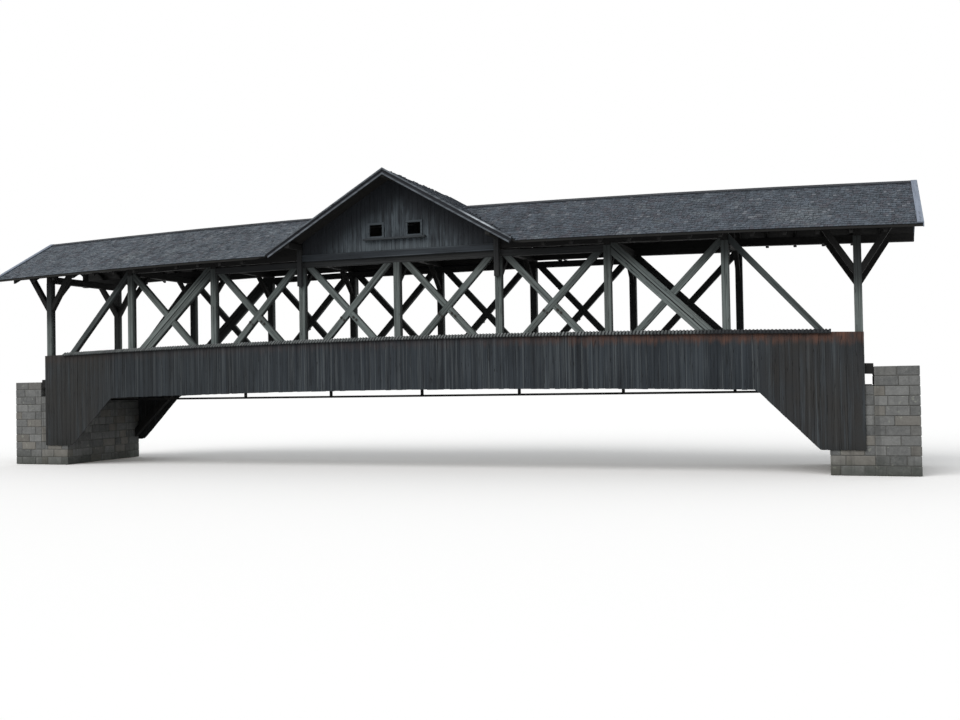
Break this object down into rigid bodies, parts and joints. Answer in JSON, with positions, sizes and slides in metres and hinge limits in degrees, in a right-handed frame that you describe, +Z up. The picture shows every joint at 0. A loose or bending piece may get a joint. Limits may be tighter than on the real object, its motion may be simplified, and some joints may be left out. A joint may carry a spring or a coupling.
{
  "type": "timber covered bridge",
  "caption": "Timber covered bridge with braced trusses on each side, boarded parapets, a shingled saddle roof, a boarded cross gable over the middle and stone abutments.",
  "frame": {"origin": "bottom centre, between the feet of the two abutments", "axes": "+X along the bridge to the picture's right, +Y across it away from the camera, +Z up"},
  "size_m": [31.68, 5.98, 9.6679],
  "materials": {
    "stone": "matte",
    "dark_timber": "matte",
    "deck_planks": "matte",
    "truss_timber": "matte",
    "side_boards": "matte",
    "cap_boards": "matte",
    "shingles": "matte",
    "gable_boards": "matte",
    "grey_trim": "matte",
    "pale_trim": "matte"
  },
  "bodies": {
    "root": {"abutment_left": "stone", "abutment_right": "stone", "raking_struts": "dark_timber", "floor_beams": "dark_timber", "under_bar": "dark_timber", "bar_hangers": "dark_timber", "bottom_chords": "dark_timber", "deck_stringers": "dark_timber", "deck": "deck_planks", "truss_posts": "truss_timber", "rising_braces": "truss_timber", "falling_braces": "truss_timber", "counter_braces": "truss_timber", "main_struts_upper": "truss_timber", "main_struts_lower": "truss_timber", "end_struts": "truss_timber", "straining_beams": "dark_timber", "upper_chords": "dark_timber", "wall_plates": "dark_timber", "tie_beams": "dark_timber", "crosswise_knees": "dark_timber", "end_post_knees": "dark_timber", "cladding_rails": "dark_timber", "cladding_front": "side_boards", "cladding_back": "side_boards", "parapet_caps": "cap_boards", "king_posts": "dark_timber", "ridge_purlins": "dark_timber", "rafters_front": "dark_timber", "rafters_back": "dark_timber", "main_roof_front_left": "shingles", "main_roof_front_right": "shingles", "main_roof_back_left": "shingles", "main_roof_back_right": "shingles", "cross_roof_left": "shingles", "cross_roof_right": "shingles", "gable_wall_front": "gable_boards", "gable_wall_back": "gable_boards", "window_frames": "grey_trim", "gable_ledges": "grey_trim", "gable_base_beams": "grey_trim", "gable_corner_posts": "grey_trim", "verge_outriggers": "dark_timber", "bargeboards": "grey_trim", "verge_boards": "pale_trim"}
  },
  "joints": []
}
